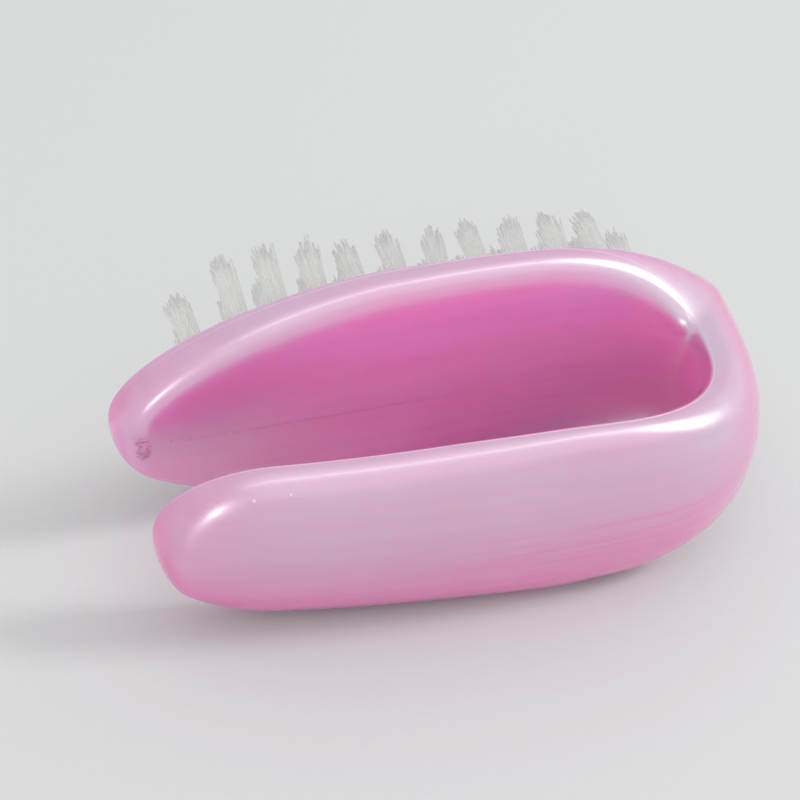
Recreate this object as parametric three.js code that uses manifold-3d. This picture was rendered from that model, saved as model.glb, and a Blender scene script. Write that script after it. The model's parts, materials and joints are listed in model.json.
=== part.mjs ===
// Nail brush: a body moulded in one piece and bent double, so that a finger handle lies over the
// bristle plate, with tufts of nylon held in the plate by flat wire anchors. All sizes are in mm.
//
// The brush is drawn as it is used, bristles down: X runs from the open tip to the bend, Y across
// and Z up from the flat bristle face at 0. It is then laid on its side, as it rests on a table.
import * as THREE from "three";
import { ConvexHull } from "three/addons/math/ConvexHull.js";
import { mergeGeometries, mergeVertices } from "three/addons/utils/BufferGeometryUtils.js";
import Module from "manifold-3d";

const wasm = await Module();
wasm.setup();

// The whole body.
const bodyLength = 86;
const bodyHeight = 33.4;

// The plate that carries the bristles, a leaf that is narrow at its tip and a little thicker there.
const plateWidth = 39.5;
const plateThickness = 5.2;
const plateTipThickness = 6.9;
const plateWidestFromTip = 37;
const plateTipRound = 4.7;
const leafTaperPower = 1.64;
const leafTipPower = 1.95;
const plateBackPower = 3.15;

// The flat bristle face cuts this much off the rounded underside of the plate.
const faceTrim = 4.6;

// The bend at the back, which joins the plate to the handle. The finger gap is deepest nearer to the
// plate, and the back stands out furthest at the bristle face.
const bendFromTip = 58;
const bendWidth = 20.7;
const bendThickness = 8.8;
const gapDeepestLevel = 13.5;
const backFurthestLevel = 0;

// The handle, which is widest a little past the bend, then narrows and leans in towards the plate.
const handleThickness = 8.2;
const handleWidthAtBend = 31.6;
const handleWidthAtTip = 25.7;
const handleFlare = 7;
const handleSetback = 2.2;
const handleLean = 5.9;
const handleTipLength = 15.4;
const handleTipRound = 3.5;

// Where the rim is widest, as a share of the thickness from the finger gap to the outside.
const plateCrestShare = 0.5;
const handleCrestShare = 0.19;

// How square the curves are: 2 is an ellipse and more comes closer to a rectangle.
const gapCornerPower = 2.3;
const backCornerPower = 2.3;
const backCurvePower = 3.05;
const gapSidePower = 3.15;
const handleGapPower = 2.2;
const backSidePower = 2.4;
const handleSidePower = 2.02;
const endPower = 2.1;

// The tufts: rows across, columns along, with the outer rows one column shorter at each end.
const tuftRows = 5;
const tuftColumns = 12;
const tuftTipMargin = 12.9;
const tuftBackMargin = 12;
const tuftSideMargin = 7.7;
const bristleLength = 14.1;
const strandsRound = 6;
const strandSides = 3;
const strandRadius = 0.3;
const strandRootCircle = 0.8;
const strandTipCircle = 1.2;

// The slice of the plate that the strands are set in, the holes behind it and the wire anchors.
const sliceThickness = 0.7;
const sliceMargin = 1.7;
const holeRadius = 1.5;
const holeSides = 6;
const holeDepth = 4;
const foldThickness = 0.5;
const anchorLength = 3.4;
const anchorThickness = 0.4;
const anchorHeight = 1;
const fitGap = 0.3;

// How finely the body is cut into flat faces.
const plateSteps = 22;
const bendSteps = 32;
const handleSteps = 24;
const sectionSteps = 28;

// The body runs along the plate, round the bend and back along the handle.
const plateFullThickness = plateThickness + faceTrim;
const plateLevel = plateThickness - plateFullThickness / 2;
const handleUnderside = bodyHeight - handleThickness;
const handleLevel = bodyHeight - handleThickness / 2;
const bendRise = (handleLevel - plateLevel) / 2;
const bendDepth = bodyLength - bendThickness / 2 - bendFromTip;
const bendRun = (Math.PI / 2) * (bendRise + bendDepth);
const handleRun = bendFromTip - handleSetback;
const bendMiddle = bendFromTip + bendRun / 2;
const handleStart = bendFromTip + bendRun;
const bodyRun = handleStart + handleRun;

const plastic = { color: 0xe39ac4, roughness: 0.24, metalness: 0 };
const nylon = { color: 0xeeeeea, roughness: 0.4, metalness: 0 };
const wire = { color: 0xb9b4a6, roughness: 0.35, metalness: 1 };

function share(value, from, to) {
  return THREE.MathUtils.clamp((value - from) / (to - from), 0, 1);
}

// A round rise from 0 to 1, as the quarter of a superellipse.
function roundRise(part, power) {
  return (1 - (1 - part) ** power) ** (1 / power);
}

// A cosine or sine bent towards the corner of its square.
function squared(value, power) {
  return Math.sign(value) * Math.abs(value) ** (2 / power);
}

// One line of the bend, seen from the side: round from a low level to a high one, and furthest back
// at a level between them.
function bendLine(angle, reach, [low, furthest, high], [lowPower, highPower]) {
  const power = angle < 0 ? lowPower : highPower;
  const rise = angle < 0 ? furthest - low : high - furthest;
  return new THREE.Vector2(
    bendFromTip + reach * squared(Math.cos(angle), power),
    furthest + rise * squared(Math.sin(angle), power),
  );
}

// The line of the finger gap, seen from the side.
function gapLine(run) {
  if (run <= bendFromTip) {
    const part = THREE.MathUtils.smoothstep(run, 0, bendFromTip);
    return new THREE.Vector2(run, THREE.MathUtils.lerp(plateTipThickness, plateThickness, part));
  }
  if (run >= handleStart) return handleLine(run, handleUnderside);
  const angle = Math.PI * (share(run, bendFromTip, handleStart) - 0.5);
  const levels = [plateThickness, gapDeepestLevel, handleUnderside];
  const reach = bodyLength - bendThickness - bendFromTip;
  return bendLine(angle, reach, levels, [gapCornerPower, gapCornerPower]);
}

// The line of the outside, seen from the side, before the bristle face is cut.
function outerLine(run) {
  if (run <= bendFromTip) return new THREE.Vector2(run, -faceTrim);
  if (run >= handleStart) return handleLine(run, bodyHeight);
  const angle = Math.PI * (share(run, bendFromTip, handleStart) - 0.5);
  const levels = [-faceTrim, backFurthestLevel, bodyHeight];
  return bendLine(angle, bodyLength - bendFromTip, levels, [backCornerPower, backCurvePower]);
}

function handleLine(run, level) {
  const back = run - handleStart;
  return new THREE.Vector2(bendFromTip - back, level - handleLean * (back / handleRun) ** 2);
}

function plateHalfWidth(run) {
  if (run < plateWidestFromTip) {
    const toTip = 1 - run / plateWidestFromTip;
    return (plateWidth / 2) * (1 - toTip ** leafTaperPower) ** (1 / leafTipPower);
  }
  const back = share(outerLine(run).x, plateWidestFromTip, bodyLength) ** plateBackPower;
  return THREE.MathUtils.lerp(plateWidth / 2, bendWidth / 2, back);
}

function handleHalfWidth(run) {
  const flare = THREE.MathUtils.smoothstep(run, bendMiddle, handleStart + handleFlare);
  const flared = THREE.MathUtils.lerp(bendWidth / 2, handleWidthAtBend / 2, flare);
  const taper = ((handleWidthAtBend - handleWidthAtTip) / 2) * share(run, handleStart, bodyRun);
  return (flared - taper) * roundRise(share(bodyRun - run, 0, handleTipLength), endPower);
}

function halfWidth(run) {
  return run < bendMiddle ? plateHalfWidth(run) : handleHalfWidth(run);
}

// How full the body is in thickness: 1 but for the two rounded tips.
function fullness(run) {
  const plateTip = roundRise(share(run, 0, plateTipRound), endPower);
  const handleTip = roundRise(share(bodyRun - run, 0, handleTipRound), endPower);
  return plateTip * handleTip;
}

// The line of the crest of the rim, seen from the side, where the body is widest.
function crestLine(run) {
  const atBend = THREE.MathUtils.smoothstep(run, bendFromTip, bendMiddle);
  const part = THREE.MathUtils.lerp(plateCrestShare, handleCrestShare, atBend);
  return gapLine(run).lerp(outerLine(run), part);
}

// Places along the body, close together at both rounded tips.
function bodyRuns() {
  const runs = [];
  for (let i = 1; i < plateSteps; i++) {
    runs.push(bendFromTip * (1 - Math.cos((Math.PI / 2) * (i / plateSteps))));
  }
  for (let i = 0; i < bendSteps; i++) runs.push(bendFromTip + (bendRun * i) / bendSteps);
  for (let i = 0; i < handleSteps; i++) {
    runs.push(handleStart + handleRun * Math.sin((Math.PI / 2) * (i / handleSteps)));
  }
  return runs;
}

// A slice across the body: one half of it towards the finger gap and a rounder one outside.
function bodySection(run) {
  const crest = crestLine(run);
  const inwards = gapLine(run).sub(crest).multiplyScalar(fullness(run));
  const outwards = outerLine(run).sub(crest).multiplyScalar(fullness(run));
  const wide = halfWidth(run);
  const atBend = THREE.MathUtils.smoothstep(run, bendFromTip, bendMiddle);
  const atHandle = THREE.MathUtils.smoothstep(run, bendMiddle, handleStart);
  const gapPower = THREE.MathUtils.lerp(gapSidePower, handleGapPower, atBend);
  const outerPower = THREE.MathUtils.lerp(backSidePower, handleSidePower, atHandle);
  const points = [];
  for (let i = 0; i < sectionSteps; i++) {
    const angle = (2 * Math.PI * i) / sectionSteps;
    const [reach, power] = angle < Math.PI ? [inwards, gapPower] : [outwards, outerPower];
    const across = wide * squared(Math.cos(angle), power);
    const depth = Math.abs(squared(Math.sin(angle), power));
    points.push(crest.x + reach.x * depth, across, crest.y + reach.y * depth);
  }
  return points;
}

// The rounded body as a skin over its sections, closed by a point at each tip.
function bodyLoft() {
  const runs = bodyRuns();
  const positions = runs.flatMap(bodySection);
  const triangles = [];
  const at = (ring, i) => ring * sectionSteps + (i % sectionSteps);
  for (let ring = 0; ring < runs.length - 1; ring++) {
    for (let i = 0; i < sectionSteps; i++) {
      triangles.push(at(ring, i), at(ring + 1, i + 1), at(ring + 1, i));
      triangles.push(at(ring, i), at(ring, i + 1), at(ring + 1, i + 1));
    }
  }
  const last = runs.length - 1;
  const plateTip = positions.length / 3;
  const handleTip = plateTip + 1;
  for (const run of [0, bodyRun]) {
    const tip = crestLine(run);
    positions.push(tip.x, 0, tip.y);
  }
  for (let i = 0; i < sectionSteps; i++) {
    triangles.push(plateTip, at(0, i + 1), at(0, i));
    triangles.push(handleTip, at(last, i), at(last, i + 1));
  }
  return meshGeometry(positions, triangles);
}

function meshGeometry(positions, triangles) {
  const geometry = new THREE.BufferGeometry();
  geometry.setAttribute("position", new THREE.Float32BufferAttribute(positions, 3));
  geometry.setIndex(triangles);
  return geometry;
}

function solidOf(geometry) {
  const bare = geometry.clone();
  bare.deleteAttribute("normal");
  bare.deleteAttribute("uv");
  const merged = mergeVertices(bare, 1e-4);
  return new wasm.Manifold(
    new wasm.Mesh({
      numProp: 3,
      vertProperties: merged.attributes.position.array,
      triVerts: new Uint32Array(merged.index.array),
    }),
  );
}

function geometryOf(solid) {
  const mesh = solid.getMesh();
  return meshGeometry(Array.from(mesh.vertProperties), Array.from(mesh.triVerts));
}

// Copies of one shape, all clear of each other, as one solid to join or cut with.
function solidAtTufts(shape, depth) {
  const copies = places.map(({ along, across }) => shape.clone().translate(along, across, depth));
  return solidOf(mergeGeometries(copies));
}

function tuftPlaces() {
  const found = [];
  const columnPitch = (bodyLength - tuftTipMargin - tuftBackMargin) / (tuftColumns - 1);
  const rowPitch = (plateWidth - 2 * tuftSideMargin) / (tuftRows - 1);
  for (let row = 0; row < tuftRows; row++) {
    const shorter = row === 0 || row === tuftRows - 1 ? 1 : 0;
    for (let column = shorter; column < tuftColumns - shorter; column++) {
      const along = tuftTipMargin + columnPitch * column;
      const across = rowPitch * (row - (tuftRows - 1) / 2);
      found.push({ along, across });
    }
  }
  return found;
}

const places = tuftPlaces();

// The outline round all tufts, widened by a margin, with its corners cut to follow the leaf.
function sliceShape(margin) {
  const outer = places.filter(({ across }) => across === places[0].across);
  const inner = places.filter(({ across }) => across === places[outer.length].across);
  const wide = Math.abs(outer[0].across) + margin;
  const narrow = Math.abs(inner[0].across) + margin;
  const corners = [
    [inner[0].along - margin, narrow],
    [outer[0].along - margin, wide],
    [outer.at(-1).along + margin, wide],
    [inner.at(-1).along + margin, narrow],
  ];
  const near = corners.map(([along, across]) => new THREE.Vector2(along, -across));
  const far = corners.map(([along, across]) => new THREE.Vector2(along, across)).reverse();
  return new THREE.Shape([...near, ...far]);
}

function sliceGeometry(margin, thickness) {
  return new THREE.ExtrudeGeometry(sliceShape(margin), { depth: thickness, bevelEnabled: false });
}

function post(radius, from, to) {
  const geometry = new THREE.CylinderGeometry(radius, radius, to - from, holeSides);
  return geometry.rotateX(Math.PI / 2).translate(0, 0, (from + to) / 2);
}

const rootEnd = holeDepth - fitGap;
const anchorLevel = rootEnd - foldThickness - fitGap - anchorHeight / 2;

function anchorBox(gap) {
  return new THREE.BoxGeometry(
    anchorLength + 2 * gap,
    anchorThickness + 2 * gap,
    anchorHeight + 2 * gap,
  );
}

// One strand in the middle of a tuft and a ring of them round it, spreading a little to the tips.
function strandField() {
  const positions = [];
  const triangles = [];
  const levels = [
    [sliceThickness / 2, strandRootCircle],
    [-bristleLength, strandTipCircle],
  ];
  for (const { along, across } of places) {
    for (let strand = 0; strand <= strandsRound; strand++) {
      const first = positions.length / 3;
      const turn = (2 * Math.PI * strand) / strandsRound;
      for (const [level, circle] of levels) {
        const offset = strand === strandsRound ? 0 : circle;
        for (let side = 0; side < strandSides; side++) {
          const angle = turn + (2 * Math.PI * side) / strandSides;
          positions.push(
            along + offset * Math.cos(turn) + strandRadius * Math.cos(angle),
            across + offset * Math.sin(turn) + strandRadius * Math.sin(angle),
            level,
          );
        }
      }
      for (let side = 0; side < strandSides; side++) {
        const root = first + side;
        const rootNext = first + ((side + 1) % strandSides);
        triangles.push(root, root + strandSides, rootNext + strandSides);
        triangles.push(root, rootNext + strandSides, rootNext);
      }
      for (let side = 1; side < strandSides - 1; side++) {
        triangles.push(first, first + side, first + side + 1);
        const tip = first + strandSides;
        triangles.push(tip, tip + side + 1, tip + side);
      }
    }
  }
  return meshGeometry(positions, triangles);
}

function makeBody() {
  const trim = new THREE.BoxGeometry(2 * bodyLength, 2 * plateWidth, plateFullThickness);
  const pocket = sliceGeometry(sliceMargin + fitGap, 2 * (sliceThickness + fitGap));
  const solid = solidOf(bodyLoft())
    .subtract(solidOf(trim.translate(0, 0, -plateFullThickness / 2)))
    .subtract(solidOf(pocket.translate(0, 0, -sliceThickness - fitGap)))
    .subtract(solidAtTufts(post(holeRadius, 0, holeDepth), 0))
    .subtract(solidAtTufts(anchorBox(fitGap), anchorLevel));
  return geometryOf(solid);
}

// The strands stand on the slice, and each tuft's folded root reaches into its hole round the wire.
function makeBristles() {
  const root = post(holeRadius - fitGap, sliceThickness / 2, rootEnd);
  const roots = solidAtTufts(root, 0).subtract(solidAtTufts(anchorBox(fitGap), anchorLevel));
  const solid = solidOf(sliceGeometry(sliceMargin, sliceThickness))
    .add(roots)
    .add(solidOf(strandField()));
  return geometryOf(solid);
}

function addPiece(group, name, geometry, finish) {
  const piece = new THREE.Mesh(geometry, new THREE.MeshStandardMaterial(finish));
  piece.name = name;
  group.add(piece);
  return piece;
}

// Finds the flat underneath that the body rests on when it lies on its side: the face of its
// convex hull that the weight of the body falls through.
function restingFace(geometry, weight) {
  const spots = geometry.getAttribute("position");
  const points = [];
  for (let i = 0; i < spots.count; i++) points.push(new THREE.Vector3().fromBufferAttribute(spots, i));
  const faces = new ConvexHull().setFromPoints(points).faces.filter((face) => face.normal.y < -0.7);
  const foot = new THREE.Vector3();
  const corners = (face) => [face.edge.prev, face.edge, face.edge.next].map((e) => e.head().point);
  return faces.find((face) => {
    foot.copy(weight).addScaledVector(face.normal, -face.distanceToPoint(weight));
    return new THREE.Triangle(...corners(face)).containsPoint(foot);
  });
}

// The centre of the space inside a closed skin.
function centreOfWeight(geometry) {
  const spots = geometry.getAttribute("position");
  const corner = [0, 1, 2].map(() => new THREE.Vector3());
  const sum = new THREE.Vector3();
  let volume = 0;
  for (let i = 0; i < geometry.index.count; i += 3) {
    corner.forEach((point, k) => point.fromBufferAttribute(spots, geometry.index.getX(i + k)));
    const part = corner[0].dot(corner[1].clone().cross(corner[2])) / 6;
    volume += part;
    for (const point of corner) sum.addScaledVector(point, part / 4);
  }
  return sum.divideScalar(volume);
}

const brush = new THREE.Group();
const bodyGeometry = makeBody();
addPiece(brush, "body", bodyGeometry, plastic);
addPiece(brush, "bristles", makeBristles(), nylon);
places.forEach(({ along, across }, i) => {
  const name = "tuft_anchor_" + String(i + 1).padStart(2, "0");
  addPiece(brush, name, anchorBox(0), wire).position.set(along, across, anchorLevel);
});

// Laid on its side, with its length along X and the bristles pointing away along Y.
const up = restingFace(bodyGeometry, centreOfWeight(bodyGeometry)).normal.clone().negate();
const lengthwise = new THREE.Vector3(1, 0, 0).addScaledVector(up, -up.x).normalize();
const away = up.clone().cross(lengthwise);
const turned = new THREE.Matrix4().makeBasis(lengthwise, away, up).transpose();
brush.quaternion.setFromRotationMatrix(turned);

// The origin lies under the middle of the brush, on the table.
const box = new THREE.Box3().setFromObject(brush, true);
const middle = box.getCenter(new THREE.Vector3());
brush.position.set(-middle.x, -middle.y, -box.min.z);

const part = new THREE.Group();
part.add(brush);

export default part;
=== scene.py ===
import bmesh
import bpy
import json
import math
import random
from mathutils import Matrix, Quaternion, Vector

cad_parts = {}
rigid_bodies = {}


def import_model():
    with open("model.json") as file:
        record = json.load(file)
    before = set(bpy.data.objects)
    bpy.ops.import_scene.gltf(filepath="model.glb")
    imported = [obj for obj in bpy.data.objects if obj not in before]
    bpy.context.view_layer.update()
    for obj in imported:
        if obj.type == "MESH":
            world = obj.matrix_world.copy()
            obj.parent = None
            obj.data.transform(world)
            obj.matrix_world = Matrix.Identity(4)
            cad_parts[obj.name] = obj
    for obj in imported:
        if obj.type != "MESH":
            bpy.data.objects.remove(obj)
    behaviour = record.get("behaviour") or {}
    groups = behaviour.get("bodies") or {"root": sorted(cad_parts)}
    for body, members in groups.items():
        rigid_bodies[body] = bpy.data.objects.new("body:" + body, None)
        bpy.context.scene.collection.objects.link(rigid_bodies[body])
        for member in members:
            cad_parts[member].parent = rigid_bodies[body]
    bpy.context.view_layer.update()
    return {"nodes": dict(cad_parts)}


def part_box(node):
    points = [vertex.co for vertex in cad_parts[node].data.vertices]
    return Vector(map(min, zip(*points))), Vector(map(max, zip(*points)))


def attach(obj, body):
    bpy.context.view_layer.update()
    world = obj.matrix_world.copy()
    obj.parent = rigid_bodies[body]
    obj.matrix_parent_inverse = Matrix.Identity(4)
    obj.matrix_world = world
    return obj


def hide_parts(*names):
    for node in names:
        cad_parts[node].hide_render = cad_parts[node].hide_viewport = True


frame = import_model()
random.seed(41)
print("frame loaded with", len(frame["nodes"]), "nodes")

# sizes of the moulded body in mm, in the brush's own axes: along, across, up from the bristle face
body = {
    "length": 86.0,
    "height": 33.4,
    "plateWidth": 39.5,
    "plateThickness": 5.2,
    "plateTipThickness": 6.9,
    "plateWidest": 37.0,          # from the tip
    "plateTipRound": 4.7,
    "leafTaper": 1.64,
    "leafTip": 1.95,
    "plateBack": 3.15,
    "faceTrim": 4.6,
    "bendFromTip": 58.0,
    "bendWidth": 20.7,
    "bendThickness": 10.2,        # thicker towards the gap than the solid, as the photo shows it
    "gapDeepest": 13.5,
    "backFurthest": 0.0,
    "handleThickness": 8.2,
    "handleWidthAtBend": 31.6,
    "handleWidthAtTip": 25.7,
    "handleFlare": 7.0,
    "handleSetback": 2.2,
    "handleLean": 5.9,
    "handleTipLength": 15.4,
    "handleTipRound": 3.5,
    "plateCrest": 0.5,            # where the rim is widest, as a share from the gap to the outside
    "handleCrest": 0.19,
    "shoulderCrest": 0.09,        # added where the bend meets the handle
    "shoulderReach": 20.0,
    "gapCorner": 2.3,             # powers: 2 is an ellipse, more is squarer
    "backCorner": 2.3,
    "backCurve": 3.05,
    "gapSide": 3.15,
    "handleGap": 2.2,
    "backSide": 2.4,
    "handleSide": 2.02,
    "tipPower": 2.1,
    "plateSteps": 110,
    "bendSteps": 120,
    "handleSteps": 110,
    "sectionSteps": 144,
    "edgeRound": 0.3,             # rounding of the sharp edge of the bristle face
    "edgeSteps": 3,
}

# the tuft grid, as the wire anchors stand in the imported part
tuftGrid = {
    "columns": 12,
    "tipMargin": 12.9,
    "backMargin": 12.0,
    "sideMargin": 7.7,
    "anchorLevel": 2.4,
    "firstRow": 10,               # tufts in the first outer row
    "beforeLastRow": 46,          # tufts before the last outer row
}

anchorNames = sorted(name for name in frame["nodes"] if name.startswith("tuft_anchor_"))


def nodeCentre(name):
    low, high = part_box(name)
    return (low + high) / 2


def brushAxes():
    centres = [nodeCentre(name) for name in anchorNames]
    along = (centres[tuftGrid["firstRow"] - 1] - centres[0]).normalized()
    across = (centres[tuftGrid["beforeLastRow"]] - centres[0]).normalized()
    up = along.cross(across)
    pitch = (body["length"] - tuftGrid["tipMargin"] - tuftGrid["backMargin"]) / (tuftGrid["columns"] - 1)
    firstAlong = tuftGrid["tipMargin"] + pitch
    firstAcross = tuftGrid["sideMargin"] - body["plateWidth"] / 2
    turn = Matrix((along, across, up)).transposed()
    start = centres[0] - turn @ Vector((firstAlong, firstAcross, tuftGrid["anchorLevel"])) / 1000
    return Matrix.Translation(start) @ turn.to_4x4() @ Matrix.Scale(0.001, 4)


toFrame = brushAxes()
toBrush = toFrame.inverted()
tuftCentres = [toBrush @ nodeCentre(name) for name in anchorNames]
print("brush axes found from", len(tuftCentres), "wire anchors")


def share(value, low, high):
    return min(max((value - low) / (high - low), 0.0), 1.0)


def smooth(value, low, high):
    part = share(value, low, high)
    return part * part * (3 - 2 * part)


def lerp(first, second, part):
    return first + (second - first) * part


def roundRise(part, power):
    return (1 - (1 - part) ** power) ** (1 / power)


def squared(value, power):
    return math.copysign(abs(value) ** (2 / power), value)


# the body runs along the plate, round the bend and back along the handle
plateRun = body["bendFromTip"]
plateLevel = (body["plateThickness"] - body["faceTrim"]) / 2
handleUnderside = body["height"] - body["handleThickness"]
handleLevel = body["height"] - body["handleThickness"] / 2
bendRise = (handleLevel - plateLevel) / 2
bendDepth = body["length"] - body["bendThickness"] / 2 - plateRun
bendRun = math.pi / 2 * (bendRise + bendDepth)
handleRun = plateRun - body["handleSetback"]
bendMiddle = plateRun + bendRun / 2
handleStart = plateRun + bendRun
bodyRun = handleStart + handleRun


def bendLine(angle, reach, low, furthest, high, lowPower, highPower):
    power = lowPower if angle < 0 else highPower
    rise = furthest - low if angle < 0 else high - furthest
    along = plateRun + reach * squared(math.cos(angle), power)
    return Vector((along, furthest + rise * squared(math.sin(angle), power)))


def handleLine(run, level):
    back = run - handleStart
    return Vector((plateRun - back, level - body["handleLean"] * (back / handleRun) ** 2))


def gapLine(run):
    if run <= plateRun:
        thickness = lerp(body["plateTipThickness"], body["plateThickness"], smooth(run, 0, plateRun))
        return Vector((run, thickness))
    if run >= handleStart:
        return handleLine(run, handleUnderside)
    angle = math.pi * (share(run, plateRun, handleStart) - 0.5)
    reach = body["length"] - body["bendThickness"] - plateRun
    low, high = body["plateThickness"], handleUnderside
    return bendLine(angle, reach, low, body["gapDeepest"], high, body["gapCorner"], body["gapCorner"])


def outerLine(run):
    if run <= plateRun:
        return Vector((run, -body["faceTrim"]))
    if run >= handleStart:
        return handleLine(run, body["height"])
    angle = math.pi * (share(run, plateRun, handleStart) - 0.5)
    reach = body["length"] - plateRun
    low, high = -body["faceTrim"], body["height"]
    return bendLine(angle, reach, low, body["backFurthest"], high, body["backCorner"], body["backCurve"])


def halfWidth(run):
    widest = body["plateWidest"]
    if run < widest:
        toTip = 1 - run / widest
        return body["plateWidth"] / 2 * (1 - toTip ** body["leafTaper"]) ** (1 / body["leafTip"])
    if run < bendMiddle:
        back = share(outerLine(run).x, widest, body["length"]) ** body["plateBack"]
        return lerp(body["plateWidth"], body["bendWidth"], back) / 2
    flare = smooth(run, bendMiddle, handleStart + body["handleFlare"])
    flared = lerp(body["bendWidth"], body["handleWidthAtBend"], flare) / 2
    narrowing = (body["handleWidthAtBend"] - body["handleWidthAtTip"]) / 2
    taper = narrowing * share(run, handleStart, bodyRun)
    tip = roundRise(share(bodyRun - run, 0, body["handleTipLength"]), body["tipPower"])
    return (flared - taper) * tip


def fullness(run):
    plateTip = roundRise(share(run, 0, body["plateTipRound"]), body["tipPower"])
    handleTip = roundRise(share(bodyRun - run, 0, body["handleTipRound"]), body["tipPower"])
    return plateTip * handleTip


def crestLine(run):
    part = lerp(body["plateCrest"], body["handleCrest"], smooth(run, plateRun, bendMiddle))
    part += body["shoulderCrest"] * (1 - smooth(abs(run - handleStart), 0, body["shoulderReach"]))
    return gapLine(run).lerp(outerLine(run), part)


# a place on the skin by its run along the body and its angle round the section,
# with how far it lies from the crest of the rim: 1 at the gap, -1 outside
def skinPlace(run, angle):
    crest = crestLine(run)
    if math.sin(angle) > 0:
        power = lerp(body["gapSide"], body["handleGap"], smooth(run, plateRun, bendMiddle))
        reach = gapLine(run) - crest
    else:
        power = lerp(body["backSide"], body["handleSide"], smooth(run, bendMiddle, handleStart))
        reach = outerLine(run) - crest
    across = halfWidth(run) * squared(math.cos(angle), power)
    depth = squared(math.sin(angle), power)
    spot = crest + reach * (fullness(run) * abs(depth))
    return Vector((spot.x, across, spot.y)), depth


def bodyRuns():
    runs = []
    for i in range(1, body["plateSteps"]):
        runs.append(plateRun * (1 - math.cos(math.pi / 2 * i / body["plateSteps"])))
    for i in range(body["bendSteps"]):
        runs.append(plateRun + bendRun * i / body["bendSteps"])
    for i in range(body["handleSteps"]):
        runs.append(handleStart + handleRun * math.sin(math.pi / 2 * i / body["handleSteps"]))
    return runs


def buildLoft():
    mesh = bmesh.new()
    flow = mesh.verts.layers.float_vector.new("flow")
    steps = body["sectionSteps"]
    rings = []
    for run in bodyRuns():
        ring = []
        for i in range(steps):
            place, depth = skinPlace(run, 2 * math.pi * (i + 0.5) / steps)
            spot = mesh.verts.new(place)
            spot[flow] = (run, place.y, depth)
            ring.append(spot)
        rings.append(ring)
    for near, far in zip(rings, rings[1:]):
        for i in range(steps):
            k = (i + 1) % steps
            mesh.faces.new((near[i], near[k], far[k], far[i]))
    for ring, run, flip in ((rings[0], 0.0, False), (rings[-1], bodyRun, True)):
        tip = crestLine(run)
        pole = mesh.verts.new((tip.x, 0.0, tip.y))
        pole[flow] = (run, 0.0, 0.0)
        for i in range(steps):
            k = (i + 1) % steps
            mesh.faces.new((pole, ring[i], ring[k]) if flip else (pole, ring[k], ring[i]))
    return mesh, flow


tuftHole = {"radius": 1.3, "rimRound": 0.15, "depth": 3.2, "sides": 20}


def sortedLoop(edges):
    start = edges[0].verts[0]
    loop = [start]
    left = set(edges)
    while left:
        edge = next((e for e in loop[-1].link_edges if e in left), None)
        if edge is None:
            break
        left.discard(edge)
        following = edge.other_vert(loop[-1])
        if following is start:
            break
        loop.append(following)
    return loop


def bridge(mesh, outer, inner):
    count = len(outer)
    for i in range(count):
        k = (i + 1) % count
        face = mesh.faces.new((outer[i], outer[k], inner[k], inner[i]))
        face.smooth = True


def flattenFace(mesh, flow):
    # the underside is cut a little above the face, then rolled round to it
    turn = body["edgeRound"]
    everything = mesh.verts[:] + mesh.edges[:] + mesh.faces[:]
    cut = bmesh.ops.bisect_plane(
        mesh, geom=everything, dist=1e-5, plane_co=(0, 0, turn), plane_no=(0, 0, -1), clear_outer=True
    )
    rim = [item for item in cut["geom_cut"] if isinstance(item, bmesh.types.BMEdge)]
    loop = sortedLoop(rim)
    middle = sum((v.co for v in loop), Vector()) / len(loop)
    count = len(loop)
    inward = []
    for i, spot in enumerate(loop):
        run = loop[(i + 1) % count].co - loop[i - 1].co
        side = Vector((-run.y, run.x, 0)).normalized()
        inward.append(side if side.dot(middle - spot.co) > 0 else -side)
    rings = [loop]
    for step in range(1, body["edgeSteps"] + 1):
        angle = math.pi / (2 * body["edgeSteps"]) * step
        ring = []
        for spot, side in zip(loop, inward):
            place = spot.co + side * turn * (1 - math.cos(angle))
            place.z = turn - turn * math.sin(angle)
            made = mesh.verts.new(place)
            made[flow] = spot[flow]
            ring.append(made)
        bridge(mesh, rings[-1], ring)
        rings.append(ring)
    return rings[-1]


def ringOfVerts(mesh, flow, centre, radius, level):
    ring = []
    for i in range(tuftHole["sides"]):
        angle = 2 * math.pi * i / tuftHole["sides"]
        place = (centre.x + radius * math.cos(angle), centre.y + radius * math.sin(angle), level)
        spot = mesh.verts.new(place)
        spot[flow] = (centre.x, place[1], -1.0)
        ring.append(spot)
    return ring


def loopEdges(mesh, loop):
    edges = []
    for i, spot in enumerate(loop):
        pair = (spot, loop[(i + 1) % len(loop)])
        edges.append(mesh.edges.get(pair) or mesh.edges.new(pair))
    return edges


def drillHoles(mesh, flow, rim):
    edges = loopEdges(mesh, rim)
    mouths = []
    for centre in tuftCentres:
        mouth = ringOfVerts(mesh, flow, centre, tuftHole["radius"] + tuftHole["rimRound"], 0)
        edges += loopEdges(mesh, mouth)
        mouths.append((centre, mouth))
    filled = bmesh.ops.triangle_fill(
        mesh, use_beauty=True, use_dissolve=False, edges=edges, normal=(0, 0, -1)
    )
    for face in filled["geom"]:
        if isinstance(face, bmesh.types.BMFace):
            face.smooth = False
    for centre, mouth in mouths:
        wall = ringOfVerts(mesh, flow, centre, tuftHole["radius"], tuftHole["rimRound"])
        floor = ringOfVerts(mesh, flow, centre, tuftHole["radius"], tuftHole["depth"])
        bridge(mesh, mouth, wall)
        bridge(mesh, wall, floor)
        mesh.faces.new(floor)
    return edges


def finishMesh(mesh, name):
    bmesh.ops.recalc_face_normals(mesh, faces=mesh.faces[:])
    mesh.transform(toFrame)
    data = bpy.data.meshes.new(name)
    mesh.to_mesh(data)
    mesh.free()
    piece = bpy.data.objects.new(name, data)
    bpy.context.scene.collection.objects.link(piece)
    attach(piece, "root")
    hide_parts("body")
    return piece


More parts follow.
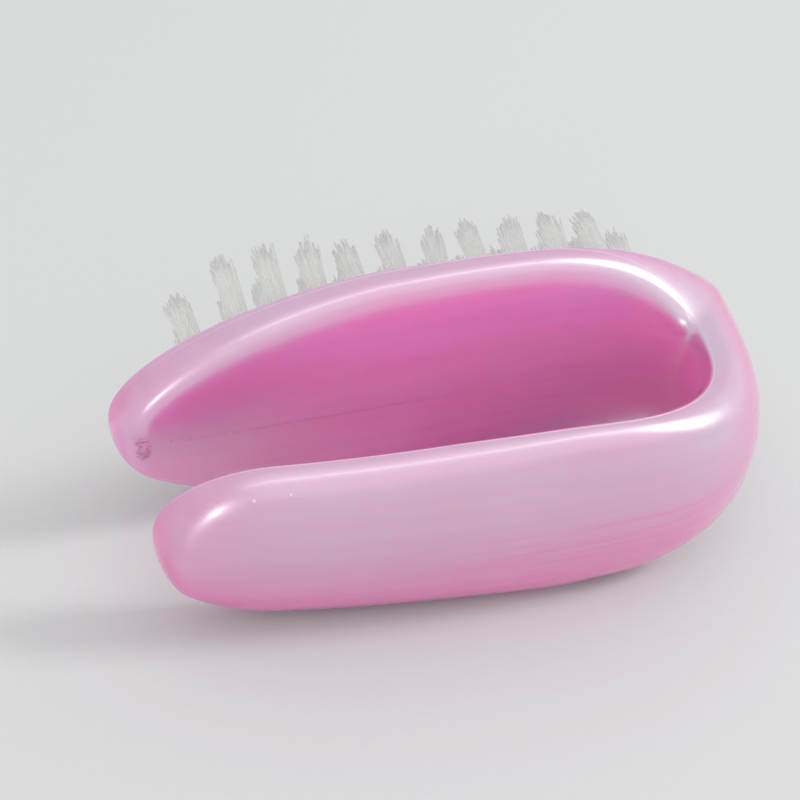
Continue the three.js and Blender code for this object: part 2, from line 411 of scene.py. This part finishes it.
def makeBody():
    mesh, flow = buildLoft()
    for face in mesh.faces:
        face.smooth = True
    rim = flattenFace(mesh, flow)
    for edge in drillHoles(mesh, flow, rim):
        edge.smooth = False
    piece = finishMesh(mesh, "mouldedBody")
    print("moulded body:", len(piece.data.polygons), "faces")
    return piece


# marks the mould left, in mm: parting line, flash along the rim, gate scar and two blisters
marks = {
    "partingFrom": 7.0,
    "partingTo": 50.0,
    "partingAcross": 1.6,
    "partingDrift": -0.055,       # sideways per mm of run
    "partingHeight": 0.09,
    "partingHalf": 0.16,
    "partingFade": 0.9,           # share of its height lost along it
    "partingSteps": 60,
    "flashHeight": 0.05,
    "flashAtBend": 0.09,
    "flashHalf": 0.12,
    "flashEnds": 2.0,             # run left bare at both tips
    "flashSpread": 0.12,          # of the higher stretch, as a share of the line
    "flashSteps": 240,
    "gateRun": 3.3,
    "gateAcross": 0.5,
    "gateReach": 1.6,
    "gateStretch": 1.4,           # wider across than along
    "gateRidges": 15,
    "gateHeight": 0.3,
    "gateHalf": 0.24,
    "gateSweep": 1.5,             # radians that one ridge turns through
    "gateDraw": 0.05,             # share that it draws in at each step
    "gateSteps": 8,
    "sunk": 0.08,
    "blisters": ((160.8, 0.52), (156.4, 0.5)),
    "blisterRadius": 0.3,
    "blisterHeight": 0.14,
    "blisterSides": 10,
    "probeRun": 0.05,             # steps for finding the skin's slope
    "probeAngle": 0.01,
    "scar": (0.62, 0.19, 0.42, 1),        # colour of the ridges in the gap
    "scarPale": (0.82, 0.36, 0.60, 1),
    # the marks outside the gap, the rim flash and the blisters, are painted pale: a painted highlight
    # along the crest and painted glints on the blisters
    "paleGlintOutsideGap": (0.80, 0.62, 0.75, 1),     # colour of the marks outside it
}


def gapAngle(run, across):
    power = lerp(body["gapSide"], body["handleGap"], smooth(run, plateRun, bendMiddle))
    part = min(abs(across) / halfWidth(run), 1.0)
    return math.acos(math.copysign(part ** (power / 2), across))


def skinSpot(run, angle):
    place, depth = skinPlace(run, angle)
    step, turn = marks["probeRun"], marks["probeAngle"]
    ahead = skinPlace(run + step, angle)[0] - skinPlace(run - step, angle)[0]
    aside = skinPlace(run, angle + turn)[0] - skinPlace(run, angle - turn)[0]
    normal = ahead.cross(aside).normalized()
    crest = crestLine(run)
    if normal.dot(place - Vector((crest.x, 0, crest.y))) < 0:
        normal.negate()
    return place, normal, (run, place.y, depth)


def addRidge(mesh, flow, spots, height, half):
    sections = []
    last = len(spots) - 1
    for i, (place, normal, where) in enumerate(spots):
        ahead = spots[min(i + 1, last)][0] - spots[max(i - 1, 0)][0]
        side = ahead.cross(normal).normalized() * half
        low = normal * marks["sunk"]
        top = normal * height(i / last)
        section = [mesh.verts.new(v) for v in (place - side - low, place + top, place + side - low)]
        for spot in section:
            spot[flow] = where
        sections.append(section)
    for near, far in zip(sections, sections[1:]):
        bridge(mesh, near, far)
    mesh.faces.new(sections[0])
    mesh.faces.new(sections[-1])


def addBlister(mesh, flow, run, angle):
    place, normal, where = skinSpot(run, angle)
    side = normal.orthogonal().normalized()
    other = normal.cross(side)
    high = marks["blisterHeight"]
    sides = marks["blisterSides"]
    rings = []
    for reach, rise in ((1.0, -marks["sunk"]), (0.75, 0.6 * high), (0.35, high)):
        ring = []
        for i in range(sides):
            angle = 2 * math.pi * i / sides
            out = (side * math.cos(angle) + other * math.sin(angle)) * marks["blisterRadius"] * reach
            spot = mesh.verts.new(place + out + normal * rise)
            spot[flow] = where
            ring.append(spot)
        rings.append(ring)
    for near, far in zip(rings, rings[1:]):
        bridge(mesh, near, far)
    mesh.faces.new(rings[0])
    mesh.faces.new(rings[-1])


def partingLine(mesh, flow):
    spots = []
    steps = marks["partingSteps"]
    for i in range(steps + 1):
        run = lerp(marks["partingFrom"], marks["partingTo"], i / steps)
        across = marks["partingAcross"] + marks["partingDrift"] * run
        spots.append(skinSpot(run, gapAngle(run, across)))
    high, fade = marks["partingHeight"], marks["partingFade"]
    addRidge(mesh, flow, spots, lambda part: high * (1 - fade * part), marks["partingHalf"])


def flashLines(mesh, flow):
    ends, steps = marks["flashEnds"], marks["flashSteps"]
    bend = (handleStart - ends) / (bodyRun - 2 * ends)

    def height(part):
        atBend = 1 - smooth(abs(part - bend), 0, marks["flashSpread"])
        return marks["flashHeight"] + marks["flashAtBend"] * atBend

    for side in (0, math.pi):
        spots = [skinSpot(lerp(ends, bodyRun - ends, i / steps), side) for i in range(steps + 1)]
        addRidge(mesh, flow, spots, height, marks["flashHalf"])


def gateScar(mesh, flow):
    for i in range(marks["gateRidges"]):
        start = random.uniform(0, 2 * math.pi)
        reach = marks["gateReach"] * math.sqrt((i + 0.5) / marks["gateRidges"])
        spots = []
        for k in range(marks["gateSteps"] + 1):
            angle = start + marks["gateSweep"] * k / marks["gateSteps"]
            drawn = 1 - marks["gateDraw"] * k
            run = marks["gateRun"] + reach * drawn * math.cos(angle)
            across = marks["gateAcross"] + marks["gateStretch"] * reach * drawn * math.sin(angle)
            spots.append(skinSpot(run, gapAngle(run, across)))
        high = marks["gateHeight"] * random.uniform(0.5, 1.0)
        addRidge(mesh, flow, spots, lambda part: high * math.sin(math.pi * part), marks["gateHalf"])


def makeMarks():
    mesh = bmesh.new()
    flow = mesh.verts.layers.float_vector.new("flow")
    partingLine(mesh, flow)
    flashLines(mesh, flow)
    gateScar(mesh, flow)
    for run, angle in marks["blisters"]:
        addBlister(mesh, flow, run, -angle)
    piece = finishMesh(mesh, "mouldMarks")
    print("mould marks:", len(piece.data.polygons), "faces")
    return piece


# nylon tufts, in mm
tuft = {
    "length": 13.9,
    "longerAtTip": 0.9,           # the brush is worn: longer at the tip, shorter at the back
    "wornFrom": 18.0,
    "wornTo": 68.0,
    "filaments": 56,
    "radius": 1.15,               # of the bundle where it leaves the plate
    "spread": 1.4,                # how much wider it is at the tips
    "lean": 0.5,                  # sideways wander of a whole tuft at its tips
    "stray": 0.35,                # sideways wander of one filament
    "domed": 2.4,                 # how much shorter the outer filaments are
    "lengthWander": 0.4,
    "filamentRadius": 0.125,
    "sides": 6,
    "steps": 5,
    "rootDepth": 1.7,
    "bow": 1.6,                   # power of the sideways bend towards the tip
    "goldenAngle": 2.39996,       # packs the filaments evenly
    "jitter": 0.2,
}


def filamentPoints(centre, offset, lean):
    far = offset.length / tuft["radius"]
    tipSpread = offset * tuft["spread"] - offset
    stray = Vector((random.gauss(0, tuft["stray"]), random.gauss(0, tuft["stray"])))
    worn = tuft["longerAtTip"] * (1 - 2 * share(centre.x, tuft["wornFrom"], tuft["wornTo"]))
    end = tuft["length"] + worn - tuft["domed"] * far * far - abs(random.gauss(0, tuft["lengthWander"]))
    points = []
    for step in range(tuft["steps"] + 1):
        part = step / tuft["steps"]
        level = lerp(tuft["rootDepth"], -end, part)
        outside = max(-level, 0) / tuft["length"]
        sideways = offset + tipSpread * outside + (lean + stray) * outside ** tuft["bow"]
        points.append(Vector((centre.x + sideways.x, centre.y + sideways.y, level)))
    return points


def addFilament(verts, faces, points):
    sides = tuft["sides"]
    first = len(verts)
    turn = random.uniform(0, math.pi)
    for point in points:
        for side in range(sides):
            angle = turn + 2 * math.pi * side / sides
            reach = Vector((math.cos(angle), math.sin(angle), 0)) * tuft["filamentRadius"]
            verts.append(point + reach)
    for step in range(len(points) - 1):
        for side in range(sides):
            low = first + step * sides
            following = (side + 1) % sides
            faces.append((low + side, low + sides + side, low + sides + following, low + following))
    faces.append(tuple(first + side for side in range(sides)))
    tip = first + (len(points) - 1) * sides
    faces.append(tuple(tip + side for side in reversed(range(sides))))


def makeTuftRow(number, centres):
    verts = []
    faces = []
    for centre in centres:
        lean = Vector((random.gauss(0, tuft["lean"]), random.gauss(0, tuft["lean"])))
        for i in range(tuft["filaments"]):
            reach = tuft["radius"] * math.sqrt((i + 0.5) / tuft["filaments"])
            angle = i * tuft["goldenAngle"] + random.uniform(-tuft["jitter"], tuft["jitter"])
            offset = Vector((reach * math.cos(angle), reach * math.sin(angle)))
            addFilament(verts, faces, filamentPoints(centre, offset, lean))
    data = bpy.data.meshes.new("tuftRow%d" % number)
    data.from_pydata([toFrame @ v for v in verts], [], faces)
    data.shade_smooth()
    piece = bpy.data.objects.new(data.name, data)
    piece.visible_shadow = False  # nylon lets the light through
    bpy.context.scene.collection.objects.link(piece)
    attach(piece, "root")
    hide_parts("bristles")
    return piece


def makeTufts():
    rows = {}
    for centre in tuftCentres:
        rows.setdefault(round(centre.y), []).append(centre)
    pieces = [makeTuftRow(i + 1, rows[level]) for i, level in enumerate(sorted(rows))]
    print("tuft rows:", len(pieces))
    return pieces


# a socket with maths: operators on it add nodes to its tree
class Wire:
    def __init__(self, socket):
        self.socket = socket
        self.tree = socket.id_data

    def node(self, kind, settings=None, sockets=None, out=0):
        made = self.tree.nodes.new("ShaderNode" + kind)
        for name, value in (settings or {}).items():
            setattr(made, name, value)
        for name, value in (sockets or {}).items():
            if isinstance(value, Wire):
                self.tree.links.new(value.socket, made.inputs[name])
            else:
                made.inputs[name].default_value = value
        return Wire(made.outputs[out])

    def maths(self, operation, first, second=0.0):
        return self.node("Math", {"operation": operation}, {0: first, 1: second})

    def clamped(self):
        return self.node("Clamp", None, {"Value": self})

    def between(self, low, high):
        return self.node("MapRange", {"interpolation_type": "SMOOTHSTEP"}, {0: self, 1: low, 2: high})

    def along(self, axis):
        return self.node("SeparateXYZ", None, {0: self}, axis)

    def stretched(self, factors):
        return self.node("VectorMath", {"operation": "MULTIPLY"}, {0: self, 1: factors})

    def mixed(self, first, second):
        return self.node("Mix", {"data_type": "RGBA"}, {0: self, 6: first, 7: second}, 2)

    def __add__(self, other):
        return self.maths("ADD", self, other)

    def __radd__(self, other):
        return self.maths("ADD", other, self)

    def __rsub__(self, other):
        return self.maths("SUBTRACT", other, self)

    def __mul__(self, other):
        return self.maths("MULTIPLY", self, other)


def newFinish(name, constants):
    material = bpy.data.materials.new(name)
    material.use_nodes = True
    shader = material.node_tree.nodes["Principled BSDF"]
    for socket, value in constants.items():
        shader.inputs[socket].default_value = value
    return material, shader


def plug(shader, name, wire):
    wire.tree.links.new(wire.socket, shader.inputs[name])


def startWire(material, kind, settings, out):
    made = material.node_tree.nodes.new("ShaderNode" + kind)
    for name, value in settings.items():
        setattr(made, name, value)
    return Wire(made.outputs[out])


pearl = {
    "pale": (0.84, 0.19, 0.50, 1),
    "deep": (0.80, 0.14, 0.42, 1),
    # the gap pinks are lighter than the outside ones: painted light, a painted glow standing in for the
    # light that comes through the plastic and bounces inside the gap
    "palePinkLitInGap": (1.0, 0.32, 0.68, 1),     # in the gap
    "deepPinkLitInGap": (1.0, 0.26, 0.61, 1),
    "mica": (0.72, 0.69, 0.77, 1),
    "share": 0.70,                # how much of the light the mica sends back where it faces the eye
    "shareAtBend": 0.45,          # kept at the edge of the bend
    "shareAddedAtBend": 0.16,
    "shareLostInGap": 0.9,
    "shareLostAtTips": 0.25,
    "shareLostInStreaks": 0.12,
    "shareLostInLines": 0.45,
    "edge": (0.14, 0.76),         # how squarely the skin faces the eye, from no mica to all of it
    "bendFrom": (62.0, 78.0),     # runs where the stronger pearl of the bend comes in
    "bendTo": (104.0, 118.0),     # and where it goes out
    "gapDepth": (0.45, 0.95),     # depth and run over which the pearl is lost in the gap
    "gapFrom": (4.0, 40.0),
    "plateTip": 16.0,             # runs over which it is lost at the tips
    "handleTip": 18.0,
    "streakGrain": (0.035, 0.55, 1.0),    # noise per mm along the flow and across it
    "lineGrain": (0.05, 0.9, 0.0),        # flow lines where the bend meets the handle
    "linesFrom": (104.0, 112.0),
    "linesTo": (124.0, 142.0),
    "linesAcross": (1.0, 6.0),
    "coat": 1.0,
    "coatRoughness": 0.07,
}


def pearlPlastic():
    material, shader = newFinish(
        "pearlPlastic",
        {
            "IOR": 1.5,
            "Specular IOR Level": 0.1,
            "Coat Weight": pearl["coat"],
            "Coat Roughness": pearl["coatRoughness"],
            "Subsurface Weight": 1.0,
            "Subsurface Radius": (1.0, 0.5, 0.7),
            "Subsurface Scale": 0.005,
        },
    )
    flow = startWire(material, "Attribute", {"attribute_name": "flow"}, "Vector")
    run, across, depth = flow.along("X"), flow.along("Y"), flow.along("Z")
    grain = flow.stretched(pearl["streakGrain"])
    drawnOut = {"Vector": grain, "Scale": 1.0, "Detail": 4.0, "Roughness": 0.55}
    streak = flow.node("TexNoise", None, drawnOut)
    cloud = flow.node("TexNoise", None, {"Vector": flow, "Scale": 0.06, "Detail": 2.0})
    mask = (streak.between(0.35, 0.75) * 0.6 + cloud.between(0.3, 0.7) * 0.4).clamped()
    outside = mask.mixed(pearl["pale"], pearl["deep"])
    gapLitPink = mask.mixed(pearl["palePinkLitInGap"], pearl["deepPinkLitInGap"])
    # the skin towards the gap takes the lighter gap pinks: painted light standing in for the glow
    # through the plastic
    plug(shader, "Base Color", depth.between(0.3, 0.85).mixed(outside, gapLitPink))
    flake = flow.node("TexVoronoi", None, {"Vector": flow, "Scale": 5.0}, "Distance")
    plug(shader, "Roughness", 0.32 + streak * 0.06 + flake * 0.05)
    peel = flow.node("TexNoise", None, {"Vector": flow, "Scale": 0.9, "Detail": 3.0})
    uneven = flow.node("Bump", None, {"Strength": 0.03, "Distance": 0.0003, "Height": peel}, "Normal")
    plug(shader, "Normal", uneven)
    shine = flow.node(
        "BsdfPrincipled",
        None,
        {
            "Base Color": pearl["mica"],
            "Metallic": 1.0,
            "Roughness": 0.29 + flake * 0.02,
            "Normal": uneven,
            "Coat Weight": pearl["coat"],
            "Coat Roughness": pearl["coatRoughness"],
        },
    )
    # the mica's share of the light, over the skin
    turned = flow.node("LayerWeight", None, {"Blend": 0.5}, "Facing")
    atBend = run.between(*pearl["bendFrom"]) * (1.0 - run.between(*pearl["bendTo"]))
    edge = (1.0 - turned).between(*pearl["edge"])
    facing = edge + (1.0 - edge) * atBend * pearl["shareAtBend"]
    full = pearl["share"] + atBend * pearl["shareAddedAtBend"]
    thin = flow.stretched(pearl["lineGrain"])
    lines = flow.node("TexNoise", None, {"Vector": thin, "Scale": 1.0, "Detail": 2.0}).between(0.4, 0.75)
    nearBend = run.between(*pearl["linesFrom"]) * (1.0 - run.between(*pearl["linesTo"]))
    drawn = lines * nearBend * (1.0 - across.between(*pearl["linesAcross"]))
    inGap = depth.between(*pearl["gapDepth"]) * run.between(*pearl["gapFrom"])
    ends = 1.0 - run.between(0.0, pearl["plateTip"]) + run.between(bodyRun - pearl["handleTip"], bodyRun)
    shares = facing * full * (1.0 - mask * pearl["shareLostInStreaks"])
    shares = shares * (1.0 - ends * pearl["shareLostAtTips"]) * (1.0 - inGap * pearl["shareLostInGap"])
    shares = shares * (1.0 - drawn * pearl["shareLostInLines"])
    both = flow.node("MixShader", None, {0: shares, 1: Wire(shader.outputs[0]), 2: shine})
    plug(material.node_tree.nodes["Material Output"], "Surface", both)
    return material


def markPlastic():
    material, shader = newFinish("markPlastic", {"IOR": 1.5, "Coat Weight": 0.7, "Coat Roughness": 0.09})
    flow = startWire(material, "Attribute", {"attribute_name": "flow"}, "Vector")
    uneven = flow.node("TexNoise", None, {"Vector": flow, "Scale": 2.0, "Detail": 3.0})
    scar = uneven.mixed(marks["scar"], marks["scarPale"])
    # ridges outside the gap take the pale colour, a painted highlight; in the gap they keep the darker
    # scar colour
    plug(shader, "Base Color", flow.along("Z").between(0.2, 0.9).mixed(marks["paleGlintOutsideGap"], scar))
    plug(shader, "Roughness", 0.3 + uneven * 0.2)
    return material


nylon = {
    "shade": (0.78, 0.78, 0.77, 1),
    "light": (0.88, 0.88, 0.87, 1),
    "throughShare": 0.5,          # of the light that passes through a filament
    "alpha": 0.46,
}


def nylonFilament():
    material, shader = newFinish("nylonFilament", {"IOR": 1.53, "Alpha": nylon["alpha"]})
    place = startWire(material, "TexCoord", {}, "Object")
    shade = place.node("TexNoise", None, {"Vector": place, "Scale": 900.0, "Detail": 2.0})
    colour = shade.mixed(nylon["shade"], nylon["light"])
    plug(shader, "Base Color", colour)
    plug(shader, "Roughness", 0.3 + shade * 0.2)
    through = place.node("BsdfTranslucent", None, {"Color": nylon["light"]})
    mix = {0: nylon["throughShare"], 1: Wire(shader.outputs[0]), 2: through}
    both = place.node("MixShader", None, mix)
    plug(material.node_tree.nodes["Material Output"], "Surface", both)
    return material


anchor = {"dull": (0.62, 0.52, 0.32, 1), "bright": (0.78, 0.7, 0.5, 1)}


def anchorWire():
    material, shader = newFinish("anchorWire", {"IOR": 1.45})
    place = startWire(material, "TexCoord", {}, "Object")
    drawn = place.node("TexNoise", None, {"Vector": place, "Scale": 2500.0, "Detail": 3.0})
    plug(shader, "Base Color", drawn.mixed(anchor["dull"], anchor["bright"]))
    plug(shader, "Roughness", 0.25 + drawn * 0.2)
    plug(shader, "Metallic", 0.96 + drawn * 0.04)
    return material


stageSet = {
    "floorSize": 3.0,
    "floorColour": (0.695, 0.698, 0.693, 1),
    "floorGrain": 0.97,           # the darker part of its grain
    "window": {"place": (0.862, -0.247, 0.752), "size": 0.26, "power": 4.1},
    "softbox": {"place": (0.13, -0.73, 0.95), "size": 1.7, "power": 1.7},
    "strip": {"place": (0.1, -0.5, 0.97), "size": 1.5, "depth": 0.1, "power": 0.6},
    "wall": {"place": (1.1, 0.3, 0.45), "size": 0.9, "power": 0.3},
    "fill": {"place": (-0.75, -0.75, 0.25), "size": 0.16, "power": 0.55},
    "roomColour": (0.97, 0.985, 1.0, 1),
    "roomStrength": 0.78,
}


def makeLamp(name):
    lamp = stageSet[name]
    data = bpy.data.lights.new(name, "AREA")
    data.energy = lamp["power"]
    data.size = lamp["size"]
    if "depth" in lamp:
        data.shape = "RECTANGLE"
        data.size_y = lamp["depth"]
    made = bpy.data.objects.new(name, data)
    made.location = lamp["place"]
    made.rotation_euler = (-Vector(lamp["place"])).to_track_quat("-Z", "Y").to_euler()
    bpy.context.scene.collection.objects.link(made)


def makeStage():
    half = stageSet["floorSize"] / 2
    data = bpy.data.meshes.new("table")
    corners = [(-half, -half, 0), (half, -half, 0), (half, half, 0), (-half, half, 0)]
    data.from_pydata(corners, [], [(0, 1, 2, 3)])
    table = bpy.data.objects.new("table", data)
    bpy.context.scene.collection.objects.link(table)
    material, shader = newFinish("tablePaper", {"Roughness": 0.6, "Specular IOR Level": 0.3})
    place = startWire(material, "TexCoord", {}, "Object")
    grain = place.node("TexNoise", None, {"Vector": place, "Scale": 900.0, "Detail": 3.0})
    colour = stageSet["floorColour"]
    darker = tuple(c * stageSet["floorGrain"] for c in colour[:3]) + (1,)
    plug(shader, "Base Color", grain.mixed(darker, colour))
    uneven = place.node("Bump", None, {"Strength": 0.1, "Distance": 0.0002, "Height": grain}, "Normal")
    plug(shader, "Normal", uneven)
    data.materials.append(material)
    for lamp in ("window", "softbox", "strip", "wall", "fill"):
        makeLamp(lamp)
    world = bpy.data.worlds.new("room")
    bpy.context.scene.world = world
    world.use_nodes = True
    sky = world.node_tree.nodes["Background"]
    sky.inputs["Color"].default_value = stageSet["roomColour"]
    sky.inputs["Strength"].default_value = stageSet["roomStrength"]
    bpy.context.scene.view_settings.view_transform = "Standard"
    print("stage set")


photoView = {
    "place": (-0.063407, -0.188265, 0.176613),
    "target": (0.000499, 0.019697, 0.004989),
    "roll": 2.676,                # degrees
    "lens": 85.886,
    "sensor": 36.0,
}


def makeCamera():
    data = bpy.data.cameras.new("photoView")
    data.lens = photoView["lens"]
    data.sensor_width = photoView["sensor"]
    data.clip_start = 0.01
    camera = bpy.data.objects.new("photoView", data)
    camera.location = photoView["place"]
    aim = Vector(photoView["target"]) - Vector(photoView["place"])
    turn = aim.to_track_quat("-Z", "Y") @ Quaternion((0, 0, 1), math.radians(photoView["roll"]))
    camera.rotation_euler = turn.to_euler()
    bpy.context.scene.collection.objects.link(camera)
    bpy.context.scene.camera = camera


makeCamera()
makeStage()
plastic = pearlPlastic()
makeBody().data.materials.append(plastic)
makeMarks().data.materials.append(markPlastic())
filament = nylonFilament()
for row in makeTufts():
    row.data.materials.append(filament)
wire = anchorWire()
for name in anchorNames:
    for holder in frame["nodes"][name].material_slots:
        holder.material = wire
print("finishes set")
